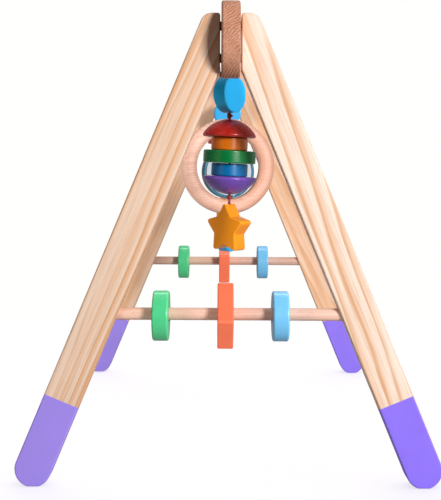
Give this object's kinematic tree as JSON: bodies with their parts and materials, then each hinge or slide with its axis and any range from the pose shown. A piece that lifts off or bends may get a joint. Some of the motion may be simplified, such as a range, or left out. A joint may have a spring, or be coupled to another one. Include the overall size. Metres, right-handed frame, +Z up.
{
  "type": "activity play gym",
  "caption": "Free-standing wooden play gym for a baby: two A-frames, a top bar with hanging toys, and low crossbars with sliding shapes.",
  "frame": {"origin": "on the floor, midway between the four feet", "axes": "+X to the right of the front frame, +Y from the front frame to the back frame, +Z up"},
  "size_m": [0.4484, 0.582, 0.5115],
  "materials": {
    "pine": "oiled, with fine grain; lower ends painted purple",
    "beech": "oiled, smooth",
    "dark_beech": "oiled, smooth",
    "slider_green": "satin paint over wood",
    "slider_red": "satin paint over wood",
    "slider_blue": "satin paint over wood",
    "sky_blue": "gloss paint over wood",
    "dome_red": "gloss paint over wood",
    "stack_orange": "gloss paint over wood",
    "stack_green": "gloss paint over wood",
    "stack_blue": "gloss paint over wood",
    "dome_purple": "gloss paint over wood",
    "star_amber": "gloss stain over wood",
    "mirror_teal": "gloss paint over wood",
    "cord": "twisted cotton cord",
    "steel": "zinc plated",
    "spacer": "moulded",
    "mirror": "polished acrylic mirror"
  },
  "bodies": {
    "frame": {"front_left_leg": "pine", "front_right_leg": "pine", "back_left_leg": "pine", "back_right_leg": "pine", "front_hub": "dark_beech", "back_hub": "dark_beech", "hub_bolts": "steel", "hub_sleeve_nuts": "steel", "hub_spacers": "spacer", "top_bar": "beech", "front_crossbar": "beech", "back_crossbar": "beech"},
    "front_green_slider": {"front_green_slider": "slider_green"},
    "front_red_slider": {"front_red_slider": "slider_red"},
    "front_blue_slider": {"front_blue_slider": "slider_blue"},
    "back_green_slider": {"back_green_slider": "slider_green"},
    "back_red_slider": {"back_red_slider": "slider_red"},
    "back_blue_slider": {"back_blue_slider": "slider_blue"},
    "front_upper_cord": {"front_upper_cord": "cord"},
    "front_top_disc": {"front_top_disc": "sky_blue"},
    "front_lower_cord": {"front_lower_cord": "cord"},
    "front_red_dome": {"front_red_dome": "dome_red"},
    "front_orange_disc": {"front_orange_disc": "stack_orange"},
    "front_green_disc": {"front_green_disc": "stack_green"},
    "front_blue_disc": {"front_blue_disc": "stack_blue"},
    "front_purple_dome": {"front_purple_dome": "dome_purple"},
    "front_star": {"front_star": "star_amber"},
    "back_upper_cord": {"back_upper_cord": "cord"},
    "back_top_disc": {"back_top_disc": "sky_blue"},
    "back_lower_cord": {"back_lower_cord": "cord"},
    "back_red_dome": {"back_red_dome": "dome_red"},
    "back_orange_disc": {"back_orange_disc": "stack_orange"},
    "back_green_disc": {"back_green_disc": "stack_green"},
    "back_blue_disc": {"back_blue_disc": "stack_blue"},
    "back_purple_dome": {"back_purple_dome": "dome_purple"},
    "back_star": {"back_star": "star_amber"},
    "middle_upper_cord": {"middle_upper_cord": "cord"},
    "middle_top_disc": {"middle_top_disc": "sky_blue"},
    "middle_lower_cord": {"middle_lower_cord": "cord"},
    "ring": {"ring": "beech"},
    "mirror": {"mirror_holder": "mirror_teal", "mirror_plates": "mirror"},
    "middle_bottom_disc": {"middle_bottom_disc": "sky_blue"}
  },
  "joints": [
    {"name": "front_green_slide", "type": "slide", "parent": "frame", "child": "front_green_slider", "axis": [1, 0, 0], "range_m": [-0.025, 0.022]},
    {"name": "front_red_slide", "type": "slide", "parent": "frame", "child": "front_red_slider", "axis": [1, 0, 0], "range_m": [-0.028, 0.022]},
    {"name": "front_blue_slide", "type": "slide", "parent": "frame", "child": "front_blue_slider", "axis": [1, 0, 0], "range_m": [-0.018, 0.043]},
    {"name": "back_green_slide", "type": "slide", "parent": "frame", "child": "back_green_slider", "axis": [1, 0, 0], "range_m": [-0.028, 0.019]},
    {"name": "back_red_slide", "type": "slide", "parent": "frame", "child": "back_red_slider", "axis": [1, 0, 0], "range_m": [-0.029, 0.021]},
    {"name": "back_blue_slide", "type": "slide", "parent": "frame", "child": "back_blue_slider", "axis": [1, 0, 0], "range_m": [-0.023, 0.038]},
    {"name": "front_pendant_swing", "type": "hinge", "parent": "frame", "child": "front_upper_cord", "pos_m": [0, -0.19, 0.4705], "axis": [0, 1, 0], "range_deg": [-15, 15]},
    {"name": "front_top_disc_spin", "type": "hinge", "parent": "front_upper_cord", "child": "front_top_disc", "pos_m": [0, -0.19, 0.4175], "axis": [0, 0, 1], "continuous": true},
    {"name": "front_lower_swing", "type": "hinge", "parent": "front_upper_cord", "child": "front_lower_cord", "pos_m": [0, -0.19, 0.3934], "axis": [1, 0, 0], "range_deg": [-12, 12]},
    {"name": "front_red_dome_spin", "type": "hinge", "parent": "front_lower_cord", "child": "front_red_dome", "pos_m": [0, -0.19, 0.37905], "axis": [0.0436, 0, 0.999], "continuous": true},
    {"name": "front_orange_disc_spin", "type": "hinge", "parent": "front_lower_cord", "child": "front_orange_disc", "pos_m": [0, -0.19, 0.3614], "axis": [0.0436, 0, 0.999], "continuous": true},
    {"name": "front_green_disc_spin", "type": "hinge", "parent": "front_lower_cord", "child": "front_green_disc", "pos_m": [0, -0.19, 0.3469], "axis": [0.0436, 0, 0.999], "continuous": true},
    {"name": "front_blue_disc_spin", "type": "hinge", "parent": "front_lower_cord", "child": "front_blue_disc", "pos_m": [0, -0.19, 0.3324], "axis": [0.0436, 0, 0.999], "continuous": true},
    {"name": "front_purple_dome_spin", "type": "hinge", "parent": "front_lower_cord", "child": "front_purple_dome", "pos_m": [0, -0.19, 0.31475], "axis": [0.0436, 0, 0.999], "continuous": true},
    {"name": "front_star_spin", "type": "hinge", "parent": "front_lower_cord", "child": "front_star", "pos_m": [0, -0.19, 0.2658], "axis": [0, 0, 1], "continuous": true},
    {"name": "back_pendant_swing", "type": "hinge", "parent": "frame", "child": "back_upper_cord", "pos_m": [0, 0.19, 0.4705], "axis": [0, 1, 0], "range_deg": [-15, 15]},
    {"name": "back_top_disc_spin", "type": "hinge", "parent": "back_upper_cord", "child": "back_top_disc", "pos_m": [0, 0.19, 0.4175], "axis": [0, 0, 1], "continuous": true},
    {"name": "back_lower_swing", "type": "hinge", "parent": "back_upper_cord", "child": "back_lower_cord", "pos_m": [0, 0.19, 0.3934], "axis": [1, 0, 0], "range_deg": [-12, 12]},
    {"name": "back_red_dome_spin", "type": "hinge", "parent": "back_lower_cord", "child": "back_red_dome", "pos_m": [0, 0.19, 0.37905], "axis": [0.0436, 0, 0.999], "continuous": true},
    {"name": "back_orange_disc_spin", "type": "hinge", "parent": "back_lower_cord", "child": "back_orange_disc", "pos_m": [0, 0.19, 0.3614], "axis": [0.0436, 0, 0.999], "continuous": true},
    {"name": "back_green_disc_spin", "type": "hinge", "parent": "back_lower_cord", "child": "back_green_disc", "pos_m": [0, 0.19, 0.3469], "axis": [0.0436, 0, 0.999], "continuous": true},
    {"name": "back_blue_disc_spin", "type": "hinge", "parent": "back_lower_cord", "child": "back_blue_disc", "pos_m": [0, 0.19, 0.3324], "axis": [0.0436, 0, 0.999], "continuous": true},
    {"name": "back_purple_dome_spin", "type": "hinge", "parent": "back_lower_cord", "child": "back_purple_dome", "pos_m": [0, 0.19, 0.31475], "axis": [0.0436, 0, 0.999], "continuous": true},
    {"name": "back_star_spin", "type": "hinge", "parent": "back_lower_cord", "child": "back_star", "pos_m": [0, 0.19, 0.2658], "axis": [0, 0, 1], "continuous": true},
    {"name": "middle_pendant_swing", "type": "hinge", "parent": "frame", "child": "middle_upper_cord", "pos_m": [0, 0, 0.4705], "axis": [0, 1, 0], "range_deg": [-15, 15]},
    {"name": "middle_top_disc_spin", "type": "hinge", "parent": "middle_upper_cord", "child": "middle_top_disc", "pos_m": [0, 0, 0.4329], "axis": [0, 0, 1], "continuous": true},
    {"name": "middle_lower_swing", "type": "hinge", "parent": "middle_upper_cord", "child": "middle_lower_cord", "pos_m": [0, 0, 0.4088], "axis": [1, 0, 0], "range_deg": [-12, 12]},
    {"name": "ring_spin", "type": "hinge", "parent": "middle_lower_cord", "child": "ring", "pos_m": [0, 0, 0.3355], "axis": [0, 0, 1], "continuous": true},
    {"name": "mirror_spin", "type": "hinge", "parent": "middle_lower_cord", "child": "mirror", "pos_m": [0, 0, 0.328], "axis": [0, 0, 1], "continuous": true},
    {"name": "middle_bottom_disc_spin", "type": "hinge", "parent": "middle_lower_cord", "child": "middle_bottom_disc", "pos_m": [0, 0, 0.242], "axis": [0, 0, 1], "continuous": true}
  ]
}
